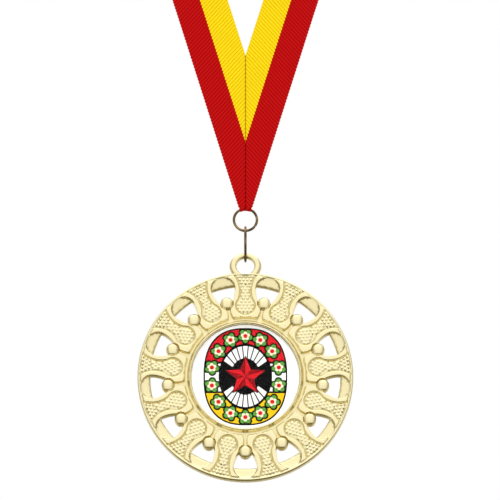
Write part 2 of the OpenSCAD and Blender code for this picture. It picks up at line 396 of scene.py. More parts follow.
def in_window(points):
    """True for points of the first sector that lie in the opening beside its spoke."""
    r = np.linalg.norm(points, axis=1)
    apart = (r > WEB_R) & (r < RIM_INNER_R)
    apart &= inside_distance(points, WINDOW_OUTLINE) < 0
    for centre in BALLS:
        apart &= inside_distance(points, ball_arc(centre, BALL_R, 360)[:-1]) < 0
    return apart


def is_open(points):
    """True in the openings and in the recess for the insert."""
    return in_window(points) | (np.linalg.norm(points, axis=1) < RECESS_R)


def to_first_sector(points):
    """Points turned about the centre into the sector of the top spoke."""
    angle = np.arctan2(points[:, 0], points[:, 1])
    turn = np.round(angle / SECTOR) * SECTOR
    c, s = np.cos(turn), np.sin(turn)
    return np.stack([points[:, 0] * c - points[:, 1] * s, points[:, 0] * s + points[:, 1] * c], 1)


def hoop(radius, spread=1.0):
    """An arc across the first sector, or across a part of it."""
    half = math.degrees(SECTOR / 2) * spread
    return arc((0, 0), radius, 90 - half, 90 + half, round(ARC_STEPS * spread))


def fill_grid(pitch, radius):
    """Points in a triangular pattern inside a circle."""
    row_h = pitch * math.sqrt(3) / 2
    count = int(radius / row_h) + 1
    grid = np.array([
        ((k + 0.5 * (row % 2)) * pitch, row * row_h)
        for row in range(-count, count + 1)
        for k in range(-count, count + 1)
    ])
    return grid[np.linalg.norm(grid, axis=1) < radius]


def sector_plan():
    """Fixed lines and points of the first sector's triangulation."""
    plan = Plan()
    hub_radii = [r for r, h in HUB_PROFILE[:9]]
    rim_radii = [r for r, h in RIM_PROFILE]
    ball_rows = np.array([0.3, 0.55, 0.75, 0.88, 0.96, 1, 1.07]) * BALL_R
    on_ball = [BALL_RING_R + side * row for row in ball_rows for side in (-1, 0, 1)]
    border_radii = sorted(set(hub_radii + rim_radii + on_ball + list(np.arange(14.3, 16.4, 0.42))))
    for side in (-1, 1):
        outward = np.array([side * math.sin(SECTOR / 2), math.cos(SECTOR / 2)])
        plan.line([outward * r for r in border_radii])
    for r in hub_radii + [RIM_INNER_R] + [r for r in rim_radii if r > 24.45]:
        plan.line(hoop(r))
    flank = np.linalg.norm(WINDOW_SIDE, axis=1)
    flank = WINDOW_SIDE[(flank > 18.2) & (flank < 22.4) & (WINDOW_SIDE[:, 1] > 17)]
    web_edge = arc((0, 0), WEB_R, 79.2, 82.2, 6)
    for line in (flank, web_edge):
        plan.line(line)
        plan.line(mirrored(line))
    for side, centre in zip((-1, 1), BALLS):
        plan.line(ball_arc(centre, BALL_R, side * 180))

    rows = [offset(SPOKE_SIDE, d) for d in (0.13, 0.04, -0.05, -0.13)]
    rows += [offset(FIELD_SIDE, e) for e in (-0.07, 0.0, 0.06, 0.15)]
    rows += [offset(resample(BARB_TOP, 0.26), d) for d in (0.13, 0.04, -0.05, -0.13)]
    for row in rows:
        plan.scatter(row, 0.042)
        plan.scatter(mirrored(row), 0.042)
    middle_rows = [offset(FIELD_SIDE, e) for e in (-0.24, -0.45)] + [offset(SPOKE_SIDE, 0.32)]
    for row in middle_rows:
        plan.scatter(row, 0.13)
        plan.scatter(mirrored(row), 0.13)
    for d in (0.13, 0.04, -0.05, -0.13):
        plan.scatter(ROOT_ARC * (ROOT_R + d) / ROOT_R, 0.09)
    for side, centre in zip((-1, 1), BALLS):
        for row in ball_rows:
            plan.scatter(ball_arc(centre, row, side * 180), 0.06)
    for centre in DOTS:
        for share in (0, 0.55, 0.9, 1.05):
            steps = 1 if share == 0 else 8
            plan.scatter(arc(centre, share * DOT_R, 22.5 * share, 22.5 * share + 360, steps)[:-1], 0.05)
    for r in rim_radii[1:] + [18.45, 14.3]:
        plan.scatter(hoop(r)[1:-1], 0.1)
    grid = fill_grid(0.44, DISC_R)
    angle = np.arctan2(grid[:, 0], grid[:, 1])
    grid = grid[(np.abs(angle) < SECTOR / 2) & (np.linalg.norm(grid, axis=1) > RECESS_R)]
    edge_gap = np.linalg.norm(grid, axis=1) * np.sin(SECTOR / 2 - np.abs(np.arctan2(grid[:, 0], grid[:, 1])))
    plan.scatter(grid[edge_gap > 0.15], 0.24)
    return plan


def casting_front(bm):
    """The casting's relief: one sector, turned round the centre once for each spoke."""
    points, faces, _ = sector_plan().triangles(is_open)
    height = relief(points)
    used = np.unique(faces)
    for i in range(SPOKES):
        c, s = math.cos(i * SECTOR), math.sin(i * SECTOR)
        verts = {}
        for k in used:
            u, v = points[k]
            verts[k] = bm.verts.new((u * c - v * s, u * s + v * c, height[k]))
        for f in faces:
            bm.faces.new([verts[k] for k in f])
    bmesh.ops.remove_doubles(bm, verts=bm.verts, dist=10 * MERGE)


def radius_of(vert):
    return math.hypot(vert.co.x, vert.co.y)


def recess_floor(bm, rim):
    """Closes the recess: its wall, down from the given edge loop, and its floor."""
    low = {v: bm.verts.new((v.co.x, v.co.y, FLOOR_H)) for e in rim for v in e.verts}
    centre = bm.verts.new((0, 0, FLOOR_H))
    for e in rim:
        a, b = e.verts
        bm.faces.new((a, b, low[b], low[a]))
        bm.faces.new((low[a], low[b], centre))


def casting_back(bm, rim):
    """Walls of the openings and of the outside, and the back that joins them."""
    verts = list({v for e in rim for v in e.verts})
    place = {v: i for i, v in enumerate(verts)}
    plan = Plan()
    plan.points = [(v.co.x, v.co.y) for v in verts]
    plan.edges = [(place[e.verts[0]], place[e.verts[1]]) for e in rim]
    for r, h in BACK_PROFILE[1:-1]:
        plan.line(arc((0, 0), r, 0, 360, SPOKES * ARC_STEPS // 2)[:-1], True)
    plan.scatter(fill_grid(1.3, DISC_R - 0.5), 0.5)
    points, faces, origin = plan.triangles(lambda middle: in_window(to_first_sector(middle)))
    height = np.interp(np.linalg.norm(points, axis=1), *zip(*BACK_PROFILE))
    made = {k: bm.verts.new((*points[k], height[k])) for k in np.unique(faces)}
    for f in faces:
        bm.faces.new([made[k] for k in f])
    foot = {i: made[k] for k, ids in enumerate(origin) for i in ids if i < len(verts) and k in made}
    for e in rim:
        a, b = e.verts
        bm.faces.new((a, b, foot[place[b]], foot[place[a]]))


def lug_solid():
    """The lug: a flat ring with rounded edges that dives under the rim's relief."""
    section = [
        (0, 0.55), (0, 1.95), (0.05, 2.12), (0.15, 2.22), (0.4, 2.28), (0.66, 2.25), (0.85, 2.1),
        (0.95, 1.86), (1, 1.5), (1, 1.0), (0.94, 0.6), (0.8, 0.32), (0.6, 0.2), (0.2, 0.2), (0.06, 0.32),
    ]
    bm = bmesh.new()
    rings = []
    for angle in np.linspace(0, TURN, 96, endpoint=False):
        c, s = math.cos(angle), math.sin(angle)
        hole = np.array([(HOLE_R - 0.02) * c, HOLE_AT + (HOLE_R - 0.02) * s])
        out = np.array([LUG_HALF[0] * c, LUG_AT + LUG_HALF[1] * s])
        ring = []
        for t, h in section:
            u, v = hole + (out - hole) * t
            sink = 1.1 * smooth((24.65 - math.hypot(u, v)) / 0.4)
            ring.append(bm.verts.new((u, v, h if h < 1.2 else max(1.2, h - sink))))
        rings.append(ring)
    for ring, after in zip(rings, rings[1:] + rings[:1]):
        for k in range(len(section)):
            n = (k + 1) % len(section)
            bm.faces.new((ring[k], ring[n], after[n], after[k]))
    bmesh.ops.recalc_face_normals(bm, faces=bm.faces)
    return bm


def hole_solid():
    """What is cut out of the rim for the lug's hole."""
    bm = bmesh.new()
    bmesh.ops.create_cone(bm, cap_ends=True, segments=96, radius1=HOLE_R, radius2=HOLE_R, depth=8)
    bmesh.ops.translate(bm, vec=(0, HOLE_AT, 0), verts=bm.verts)
    return bm


def helper(name, bm):
    mesh = bpy.data.meshes.new(name)
    bm.to_mesh(mesh)
    bm.free()
    made = bpy.data.objects.new(name, mesh)
    bpy.context.scene.collection.objects.link(made)
    return made


def combine(target, tool, operation):
    """One solid made from two, in the first one's object."""
    apply_modifier(target, "BOOLEAN", solver="MANIFOLD", operation=operation, object=tool)
    bpy.data.objects.remove(tool)


def to_row_frame():
    """Turns the medal's plane (u, v, h) into the row frame."""
    return Matrix(((1, 0, 0, 0), (0, 0, -1, BACK_Y), (0, 1, 0, DISC_Z), (0, 0, 0, 1)))


def make_casting(material):
    bm = bmesh.new()
    casting_front(bm)
    rim = [e for e in bm.edges if e.is_boundary]
    inner = [e for e in rim if radius_of(e.verts[0]) < RECESS_R + 0.05]
    outer = [e for e in rim if radius_of(e.verts[0]) >= RECESS_R + 0.05]
    recess_floor(bm, inner)
    casting_back(bm, outer)
    bmesh.ops.remove_doubles(bm, verts=bm.verts, dist=MERGE)
    bmesh.ops.recalc_face_normals(bm, faces=bm.faces)
    solid = helper("casting_blank", bm)
    combine(solid, helper("lug_blank", lug_solid()), "UNION")
    combine(solid, helper("hole_blank", hole_solid()), "DIFFERENCE")
    bm = bmesh.new()
    bm.from_mesh(solid.data)
    bpy.data.objects.remove(solid)
    bm.transform(to_row_frame())
    piece = finish_piece("gilt_casting", bm, [material], "medal", "gilt_casting", "medal_casting")
    shade_smooth(piece, 60)
    apply_modifier(piece, "WEIGHTED_NORMAL", keep_sharp=True, weight=50)
    return piece


# ---------------------------------------------------------------- insert

def prism(bm, outline, low, high, material=0):
    """A closed flat solid from an outline in the medal's plane."""
    bottom = [bm.verts.new((u, v, low)) for u, v in outline]
    top = [bm.verts.new((u, v, high)) for u, v in outline]
    n = len(outline)
    faces = [bm.faces.new(top), bm.faces.new(bottom[::-1])]
    faces += [bm.faces.new((bottom[k], bottom[(k + 1) % n], top[(k + 1) % n], top[k])) for k in range(n)]
    for f in faces:
        f.material_index = material


def oval(half_u, half_v, power=2.0, steps=96):
    """A closed oval: an ellipse at power 2, squarer above it."""
    angles = np.linspace(0, TURN, steps, endpoint=False)
    c, s = np.cos(angles), np.sin(angles)
    return np.stack([
        half_u * np.sign(c) * np.abs(c) ** (2 / power),
        half_v * np.sign(s) * np.abs(s) ** (2 / power),
    ], 1)


def band(outline, low, high):
    """The part of a convex outline between two levels."""
    ring = [p for p in outline if low < p[1] < high]
    right = sorted([p for p in ring if p[0] > 0], key=lambda p: p[1])
    left = sorted([p for p in ring if p[0] <= 0], key=lambda p: -p[1])
    return np.array(right + left)


def petals(centre, radius, inner, count, turn=0.0, steps=9):
    """A closed outline with round petals."""
    points = []
    for k in range(count * steps):
        share = abs(math.sin(math.pi * k / steps))
        r = inner + (radius - inner) * share**0.7
        angle = turn + TURN * k / (count * steps)
        points.append((centre[0] + r * math.cos(angle), centre[1] + r * math.sin(angle)))
    return np.array(points)


def circle(centre, radius, steps=20):
    return arc(centre, radius, 0, 360, steps)[:-1]


PANEL = (9.7, 11.7)
SHIELD = (6.2, 7.9)
WREATH = (7.95, 9.75)
BLOSSOMS = 14
BLACK, RED, AMBER, PAPER, GREEN, CREAM, DARK_RED, DARK_GREEN = range(8)


def rays(bm, layer):
    """White rays above and below the emblem's centre."""
    for side in (1, -1):
        for k in range(-4, 5):
            angle = math.radians(90 * side + 13.5 * k)
            half = math.radians(4.6)
            outline = []
            for turn, share in ((-half, 0.56), (-half * 1.15, 0.93), (half * 1.15, 0.93), (half, 0.56)):
                a = angle + turn
                outline.append((SHIELD[0] * share * math.cos(a), SHIELD[1] * share * math.sin(a)))
            prism(bm, outline, layer, layer + INK, PAPER)


def star(bm, radius, inner, layer):
    """A five-pointed star with a light and a dark half to each point."""
    prism(bm, star_outline(radius + 0.4, inner + 0.35), layer, layer + INK, BLACK)
    tips = star_outline(radius, inner)
    for k in range(10):
        facet = [(0, 0), tips[k], tips[(k + 1) % 10]]
        prism(bm, facet, layer, layer + 2 * INK, RED if k % 2 else DARK_RED)


def star_outline(radius, inner):
    return [
        ((inner if k % 2 else radius) * math.cos(math.pi / 2 + k * math.pi / 5),
         (inner if k % 2 else radius) * math.sin(math.pi / 2 + k * math.pi / 5))
        for k in range(10)
    ]


def blossom(bm, centre, turn, layer):
    """One blossom of the wreath on its five leaves."""
    prism(bm, petals(centre, 2.05, 1.5, 5, turn), layer, layer + INK, BLACK)
    prism(bm, petals(centre, 1.68, 0.9, 5, turn), layer, layer + 2 * INK, GREEN)
    prism(bm, petals(centre, 1.22, 0.8, 5, turn + 0.63), layer, layer + 3 * INK, DARK_GREEN)
    prism(bm, petals(centre, 1.1, 0.68, 5, turn + 0.63), layer, layer + 4 * INK, CREAM)
    prism(bm, circle(centre, 0.5), layer, layer + 5 * INK, RED)


def make_print(materials):
    """The printed emblem: a wreath of blossoms and rays round a star, on a coloured panel."""
    bm = bmesh.new()
    panel = oval(*PANEL, 2.5, 160)
    inner = oval(PANEL[0] - 0.35, PANEL[1] - 0.35, 2.5, 160)
    base = INSERT_TOP
    prism(bm, panel, base, base + INK, BLACK)
    for low, high, ink in ((3.4, 20, RED), (-3.6, 3.4, PAPER), (-20, -3.6, AMBER)):
        prism(bm, band(inner, low, high), base, base + 2 * INK, ink)
    prism(bm, oval(*SHIELD), base, base + 3 * INK, BLACK)
    rays(bm, base + 3 * INK)
    star(bm, 4.7, 2.1, base + 4 * INK)
    for k in range(BLOSSOMS):
        angle = TURN * (k + 0.5) / BLOSSOMS
        centre = (WREATH[0] * math.cos(angle), WREATH[1] * math.sin(angle))
        blossom(bm, centre, angle, base + 2 * INK)
    bm.transform(to_row_frame())
    return finish_piece("insert_print", bm, materials, "medal", "printed_insert")


def make_dome(material):
    """Clear lens over the print: flat below, round above."""
    bm = bmesh.new()
    base = INSERT_TOP + 6.5 * INK
    edge, crown = INSERT_TOP + DOME_EDGE, INSERT_TOP + DOME_CROWN
    rise = crown - edge
    cap_r = (DOME_R**2 + rise**2) / (2 * rise)
    radii = [DOME_R * math.sin(math.radians(a)) for a in np.linspace(3, 90, 22)]
    rings = []
    for r in radii:
        h = crown - cap_r + math.sqrt(cap_r**2 - r * r)
        h -= 0.05 * smooth((r - DOME_R + 0.25) / 0.25)
        rings.append([(r, h)])
    profile = [p for ring in rings for p in ring] + [(DOME_R, base)]
    top = bm.verts.new((0, 0, crown))
    bottom = bm.verts.new((0, 0, base))
    steps = 128
    loops = []
    for r, h in profile:
        loops.append([
            bm.verts.new((r * math.cos(TURN * k / steps), r * math.sin(TURN * k / steps), h))
            for k in range(steps)
        ])
    for k in range(steps):
        n = (k + 1) % steps
        bm.faces.new((top, loops[0][k], loops[0][n]))
        bm.faces.new((bottom, loops[-1][n], loops[-1][k]))
        for low, high in zip(loops[1:], loops):
            bm.faces.new((high[k], low[k], low[n], high[n]))
    bmesh.ops.recalc_face_normals(bm, faces=bm.faces)
    bm.transform(to_row_frame())
    piece = finish_piece("clear_dome", bm, [material], "medal", "clear_dome", "insert_dome")
    shade_smooth(piece, 50)
    return piece


# ---------------------------------------------------------------- rings

def make_ring(name, radius, gap_at, place, material, body, node):
    """A jump ring of round wire with a butt gap, in the plane that place() maps it to."""
    bm = bmesh.new()
    steps, sides = 168, 28
    start = math.radians(gap_at + RING_CUT / 2)
    sweep = math.radians(360 - RING_CUT)
    loops = []
    for i in range(steps + 1):
        angle = start + sweep * i / steps
        end = min(i, steps - i)
        wire = WIRE_R * (0.86 if end == 0 else 0.96 if end == 1 else 1.0)
        if end == 1:
            angle += math.radians(-1.6 if i == 1 else 1.6)
        loop = []
        for k in range(sides):
            side = TURN * k / sides
            r = radius + wire * math.cos(side)
            x, y, z = place(r * math.cos(angle), r * math.sin(angle), wire * math.sin(side))
            loop.append(bm.verts.new((x, y, z)))
        loops.append(loop)
    for a, b in zip(loops, loops[1:]):
        for k in range(sides):
            n = (k + 1) % sides
            bm.faces.new((a[k], a[n], b[n], b[k]))
    bm.faces.new(loops[0])
    bm.faces.new(loops[-1][::-1])
    bmesh.ops.recalc_face_normals(bm, faces=bm.faces)
    piece = finish_piece(name, bm, [material], body, "ring_wire", node)
    shade_smooth(piece, 40)
    return piece


def facing(x, y, z):
    """The ribbon ring's plane, which faces the front."""
    return x, RINGS_Y - z, TIP_Z - RIBBON_RING_R + y


def edge_on(x, y, z):
    """The link ring's plane, seen edge-on from the front."""
    return z, RINGS_Y + y, LINK_TOP_Z - LINK_RING_R - x


# ---------------------------------------------------------------- ribbon

def centre_line(s):
    """The ribbon's middle at a length s above the seam: place, direction and turn of its face."""
    s = np.asarray(s, float)
    sin_a, cos_a = math.sin(STRAP_ANGLE), math.cos(STRAP_ANGLE)
    on_arch = np.clip((s - STRAP_L) / LOOP_R, 0, None) - STRAP_ANGLE
    straight = s < STRAP_L
    x = np.where(straight, s * sin_a, LOOP_R * np.cos(on_arch))
    z = np.where(straight, CENTRE_MEET_Z + s * cos_a, ARCH_Z + LOOP_R * np.sin(on_arch))
    along = np.stack([
        np.where(straight, sin_a, -np.sin(on_arch)), np.where(straight, cos_a, np.cos(on_arch))
    ], -1)
    turn = math.pi / 2 * smooth((s / STRAP_L - TWIST_FROM) / (TWIST_TO - TWIST_FROM))
    return x, z, along, turn


def on_ribbon(s, w, n):
    """The point of the right half at length s, w out from the middle and n in front of it."""
    w = w - CLOTH_SHIFT
    x, z, along, turn = centre_line(s)
    out_x, out_z = along[..., 1], -along[..., 0]
    cos_t, sin_t = np.cos(turn), np.sin(turn)
    return np.stack([
        x + out_x * cos_t * w + out_x * sin_t * n,
        sin_t * w - cos_t * n,
        z + out_z * cos_t * w + out_z * sin_t * n,
    ], -1)


def rib(phase):
    """Height of the ribs, from -1 in a groove to 1 on a crest, at a place counted in ribs."""
    return 2 * np.abs(np.sin(math.pi * phase)) ** 0.8 - 1


def ribbon_grid(bm, across, along, place):
    """A closed slab of ribbon between two lines across its width, its rows along the ribs.
    place() maps length, width and depth to a point. The weave map counts ribs and yarns."""
    w_from, w_to = across
    c_from, c_to = along
    half_t = RIBBON_T / 2
    weave = bm.loops.layers.uv.get("weave") or bm.loops.layers.uv.new("weave")
    rows = np.arange(c_from, c_to, RIB_PITCH / RIB_ROWS)
    columns = list(np.arange(w_from, w_to - 1e-6, 0.5)) + [w_to]
    lip = 0.12
    outer = max(abs(w_from), abs(w_to))
    inset = [w for w in (outer - lip, -outer + lip) if w_from < w < w_to]
    columns = np.array(sorted(set(np.round(columns + inset, 4))))
    c, w = np.meshgrid(rows, columns, indexing="ij")
    crest = rib(c / RIB_PITCH)
    at_selvage = np.abs(w) > CLOTH_HALF - 0.01
    at_middle = np.abs(w) < 0.01
    w_moved = np.where(at_selvage, w - np.sign(w) * 0.08 * (1 - crest), w)
    w_moved = np.where(at_middle, 0.1 * crest, w_moved)
    s = c - RIB_SLANT * w
    depth = half_t - RIB_H * (1 - crest) / 2
    depth = np.where(at_selvage, depth * 0.45, depth)
    sides = []
    for sign in (1, -1):
        points = place(s, w_moved, sign * depth)
        sides.append([[bm.verts.new(p) for p in row] for row in points])

    def face(corners, marks):
        made = bm.faces.new(corners)
        for loop, mark in zip(made.loops, marks):
            loop[weave].uv = mark

    m, n = c.shape
    marks = np.stack([c / RIB_PITCH, w / RIB_PITCH], -1)
    for side, flip in zip(sides, (False, True)):
        for i in range(m - 1):
            for j in range(n - 1):
                square = [(i, j), (i, j + 1), (i + 1, j + 1), (i + 1, j)]
                square = square[::-1] if flip else square
                face([side[a][b] for a, b in square], [marks[a, b] for a, b in square])
    front, back = sides
    for i in range(m - 1):
        for j in (0, n - 1):
            corners = [front[i][j], front[i + 1][j], back[i + 1][j], back[i][j]]
            face(corners, [marks[i, j], marks[i + 1, j], marks[i + 1, j], marks[i, j]])
    for j in range(n - 1):
        for i in (0, m - 1):
            corners = [front[i][j], front[i][j + 1], back[i][j + 1], back[i][j]]
            face(corners, [marks[i, j], marks[i, j + 1], marks[i, j + 1], marks[i, j]])


def cut(bm, point, normal, drop=True, close=False):
    """Cuts along a plane and, if asked, drops what is on the normal's side and closes the cut."""
    geometry = bm.verts[:] + bm.edges[:] + bm.faces[:]
    made = bmesh.ops.bisect_plane(
        bm, geom=geometry, plane_co=point, plane_no=normal, clear_outer=drop, dist=1e-5
    )
    if close:
        edges = [e for e in made["geom_cut"] if isinstance(e, bmesh.types.BMEdge) and e.is_boundary]
        bmesh.ops.holes_fill(bm, edges=edges, sides=0)


def mirror_in_x(bm):
    """Adds the left half, joined where the two meet."""
    half = bm.verts[:] + bm.edges[:] + bm.faces[:]
    bmesh.ops.mirror(bm, geom=half, axis="X", merge_dist=-1)
    at_seam = [v for v in bm.verts if abs(v.co.x) < 1e-4]
    bmesh.ops.remove_doubles(bm, verts=at_seam, dist=2e-4)
    bmesh.ops.recalc_face_normals(bm, faces=bm.faces)


def sink_seam(bm):
    """Draws the cloth in where the two straps are sewn together."""
    for x in (0.1, 0.26):
        cut(bm, (x, 0, 0), (1, 0, 0), drop=False)
    for v in bm.verts:
        if v.co.z < NOTCH_Z + 0.2 and v.co.x < 0.26:
            v.co.y *= 1 - 0.55 * (1 - v.co.x / 0.26)


def make_ribbon(name, w_from, w_to, material, node):
    """One colour of the ribbon: both straps and the arch that joins them."""
    bm = bmesh.new()
    reach = RIB_SLANT * CLOTH_HALF
    lowest = -CLOTH_HALF / math.tan(STRAP_ANGLE) if w_to > 0 else -0.5
    ribbon_grid(bm, (w_from, w_to), (lowest - reach, STRAP_L + ARCH_HALF + reach), on_ribbon)
    cut(bm, (0, 0, 0), (-1, 0, 0))
    sink_seam(bm)
    mirror_in_x(bm)
    if w_to > 0:
        cut(bm, (0, 0, TIP_Z + 0.13), (0, 0, -1), close=True)
    piece = finish_piece(name, bm, [material], "ribbon", name, node)
    shade_smooth(piece, 50)
    return piece


def behind(s, w, n):
    """A place on the cut end that is folded back along the seam, behind the right strap."""
    sin_a, cos_a = math.sin(STRAP_ANGLE), math.cos(STRAP_ANGLE)
    x = s * sin_a + w * cos_a
    z = CENTRE_MEET_Z + s * cos_a - w * sin_a
    return np.stack([-x, RIBBON_T / 2 + 0.18 - n * 0.8, z], -1)


def make_allowance(materials):
    """Both cut ends, seen from behind: each strap's own cloth turned over at the seam."""
    bm = bmesh.new()
    half = CLOTH_HALF
    reach = RIB_SLANT * half
    run = half / math.tan(STRAP_ANGLE)
    ribbon_grid(bm, (-half, half), (-run - 9 - reach, run + reach), behind)
    bottom, top = TIP_Z + TIP_FOLD_L + 0.5, NOTCH_Z - 1
    cut(bm, (SEAM_GAP, 0, 0), (-1, 0, 0), close=True)
    cut(bm, (ALLOWANCE_W - 0.03, 0, 0), (1, 0, 0), close=True)
    cut(bm, (0, 0, bottom), (0, 0, -1), close=True)
    cut(bm, (0, 0, top), (1, 0, 1), close=True)
    weave = bm.loops.layers.uv["weave"]
    for f in bm.faces:
        f.material_index = 0 if f.loops[0][weave].uv.y > 0 else 1
    mirror_in_x(bm)
    piece = finish_piece("seam_allowance", bm, materials, "ribbon", "ribbon_red", "ribbon_seam_allowance")
    shade_smooth(piece, 50)
    return piece


def fold_point(t, x, side):
    """A place on the cloth folded round the wire: t runs 0 to 1 round it and on to 2 up behind."""
    sag = RIBBON_RING_R - math.sqrt(RIBBON_RING_R**2 - x * x)
    hug = math.sin(math.pi * min(t, 1)) ** 0.7 if 0 < t < 1 else 0
    room = 0.17 * smooth((abs(x) - 0.75) / 0.55) * (1 - smooth((t - 0.1) / 0.3))
    inner = FOLD_R + (WIRE_R + 0.03 + sag - FOLD_R) * hug + room
    thick = CLOTH_T + (RIBBON_T - 0.06 - CLOTH_T) * (1 - smooth(t / 0.3)) - 0.06 * hug - 0.8 * room
    r = inner + (thick if side else 0)
    if t <= 1:
        angle = math.pi * (1 + t)
        return RINGS_Y + r * math.cos(angle), TIP_Z + r * math.sin(angle)
    rise = (t - 1) * TIP_FOLD_L
    lean = smooth(rise / 1.7)
    y = (RINGS_Y + FOLD_R) * (1 - lean) + (RIBBON_T / 2 + 0.03) * lean
    return y + (thick if side else 0), TIP_Z + rise


def make_tip_fold(material):
    """The ribbon's end, round under the ring's wire and up behind the point."""
    bm = bmesh.new()
    weave = bm.loops.layers.uv.new("weave")
    path = np.concatenate([[-0.06], np.linspace(0, 1, 45), np.linspace(1, 2, 80)[1:]])
    columns = np.linspace(-1, 1, 13)
    length = np.where(path < 1, path * math.pi * 0.55, math.pi * 0.55 + (path - 1) * TIP_FOLD_L)
    layers = []
    for side in (0, 1):
        rows = []
        for t, s in zip(path, length):
            half = FOLD_W / 2 + 0.58 * (1 - smooth((t - 0.1) / 0.85))
            row = []
            for k in columns:
                x = k * half
                y, z = fold_point(max(t, 0), x, side)
                z = TIP_Z + 0.3 if t < 0 else z
                crest = rib((s + RIB_SLANT * x) / RIB_PITCH)
                pull = 0.03 * (1 - crest) * (1 if side else -1)
                normal = (math.cos(math.pi * (1 + t)), math.sin(math.pi * (1 + t))) if t < 1 else (1, 0)
                row.append(bm.verts.new((x, y - pull * normal[0], z - pull * normal[1])))
            rows.append(row)
        layers.append(rows)
    inner, outer = layers
    m, n = len(path), len(columns)
    mark = {}
    for rows in layers:
        for i, row in enumerate(rows):
            for j, v in enumerate(row):
                mark[v] = ((length[i] + RIB_SLANT * v.co.x) / RIB_PITCH, v.co.x / RIB_PITCH)
    quads = []
    for i in range(m - 1):
        for j in range(n - 1):
            quads.append((outer[i][j], outer[i][j + 1], outer[i + 1][j + 1], outer[i + 1][j]))
            quads.append((inner[i + 1][j], inner[i + 1][j + 1], inner[i][j + 1], inner[i][j]))
        for j in (0, n - 1):
            quads.append((inner[i][j], outer[i][j], outer[i + 1][j], inner[i + 1][j]))
    for i in (0, m - 1):
        for j in range(n - 1):
            quads.append((inner[i][j], inner[i][j + 1], outer[i][j + 1], outer[i][j]))
    for quad in quads:
        face = bm.faces.new(quad)
        for loop in face.loops:
            loop[weave].uv = mark[loop.vert]
    bmesh.ops.recalc_face_normals(bm, faces=bm.faces)
    piece = finish_piece("tip_fold", bm, [material], "ribbon", "ribbon_red", "ribbon_tip_fold")
    shade_smooth(piece, 50)
    return piece


def stitch(bm, start, end, radius):
    """One stitch of thread that dips into the cloth at both ends."""
    a, b = Vector(start), Vector(end)
    along = (b - a).normalized()
    side = along.cross(Vector((0, 1, 0))).normalized()
    loops = []
    for t in np.linspace(0, 1, 15):
        swell = math.sin(math.pi * (0.06 + 0.88 * t)) ** 0.4
        centre = a.lerp(b, t) + Vector((0, radius * (swell - 1) * 1.2, 0))
        loops.append([
            bm.verts.new(centre + (side * math.cos(q) + Vector((0, 1, 0)) * math.sin(q)) * radius * swell)
            for q in np.linspace(0, TURN, 12, endpoint=False)
        ])
    for a_loop, b_loop in zip(loops, loops[1:]):
        for k in range(12):
            n = (k + 1) % 12
            bm.faces.new((a_loop[k], a_loop[n], b_loop[n], b_loop[k]))
    bm.faces.new(loops[0])
    bm.faces.new(loops[-1])


def make_stitches(material):
    """The thread: two rows across the folded tip and one along each turned-in end."""
    bm = bmesh.new()
    row_y, seam_y = BEHIND_FOLD_Y, BEHIND_SEAM_Y
    for z in (TIP_Z + 2.6, TIP_Z + TIP_FOLD_L - 0.8):
        half = FOLD_W / 2 - 0.22
        stitch(bm, (-half, row_y, z), (-0.06, row_y, z), STITCH_R)
        stitch(bm, (0.06, row_y, z), (half, row_y, z), STITCH_R)
    for z in np.arange(TIP_Z + TIP_FOLD_L + 1.5, NOTCH_Z - ALLOWANCE_W - 2, STITCH_PITCH):
        for side in (-1, 1):
            x = side * ALLOWANCE_W * 0.55
            stitch(bm, (x, seam_y, z), (x, seam_y, z + STITCH_L), STITCH_R)
    bmesh.ops.recalc_face_normals(bm, faces=bm.faces)
    piece = finish_piece("stitches", bm, [material], "ribbon", "thread", "seam_thread")
    shade_smooth(piece, 60)
    return piece


# ---------------------------------------------------------------- materials

class Shader:
    """The node tree of one material."""

    def __init__(self, name):
        self.material = bpy.data.materials.new(name)
        self.material.use_nodes = True
        self.tree = self.material.node_tree
        self.tree.nodes.clear()
        self.output = self.add("ShaderNodeOutputMaterial")
        self.place = self.add("ShaderNodeTexCoord").outputs["Object"]

    def add(self, kind, inputs=None, **settings):
        node = self.tree.nodes.new(kind)
        for key, value in settings.items():
            setattr(node, key, value)
        for key, value in (inputs or {}).items():
            if isinstance(value, bpy.types.NodeSocket):
                self.tree.links.new(value, node.inputs[key])
            else:
                node.inputs[key].default_value = value
        return node

    def math(self, operation, a, b=0.0, clamp=False):
        return self.add("ShaderNodeMath", {0: a, 1: b}, operation=operation, use_clamp=clamp).outputs[0]

    def noise(self, scale, detail=3.0, rough=0.5, at=None):
        inputs = {"Vector": at or self.place, "Scale": scale, "Detail": detail, "Roughness": rough}
        return self.add("ShaderNodeTexNoise", inputs).outputs["Fac"]

    def remap(self, value, from_low, from_high, low=0.0, high=1.0):
        inputs = {0: value, 1: from_low, 2: from_high, 3: low, 4: high}
        return self.add("ShaderNodeMapRange", inputs, interpolation_type="SMOOTHSTEP").outputs[0]

    def mix(self, share, a, b, blend="MIX"):
        a = (*a, 1) if isinstance(a, tuple) else a
        b = (*b, 1) if isinstance(b, tuple) else b
        inputs = {0: share, 6: a, 7: b}
        return self.add("ShaderNodeMix", inputs, data_type="RGBA", blend_type=blend).outputs[2]

    def bump(self, height, depth, normal=None):
        """A bump of the given depth in millimetres."""
        inputs = {"Height": height, "Distance": depth * MM, "Strength": 1.0}
        if normal is not None:
            inputs["Normal"] = normal
        return self.add("ShaderNodeBump", inputs).outputs[0]

    def axis(self, name):
        """One coordinate of the place on the piece, in millimetres."""
        split = self.add("ShaderNodeSeparateXYZ", {0: self.place})
        return self.math("MULTIPLY", split.outputs[name], 1 / MM)

    def finish(self, shader):
        self.tree.links.new(shader.outputs[0], self.output.inputs["Surface"])
        return self.material

    def principled(self, **inputs):
        named = {key.replace("_", " "): value for key, value in inputs.items()}
        return self.finish(self.add("ShaderNodeBsdfPrincipled", named))


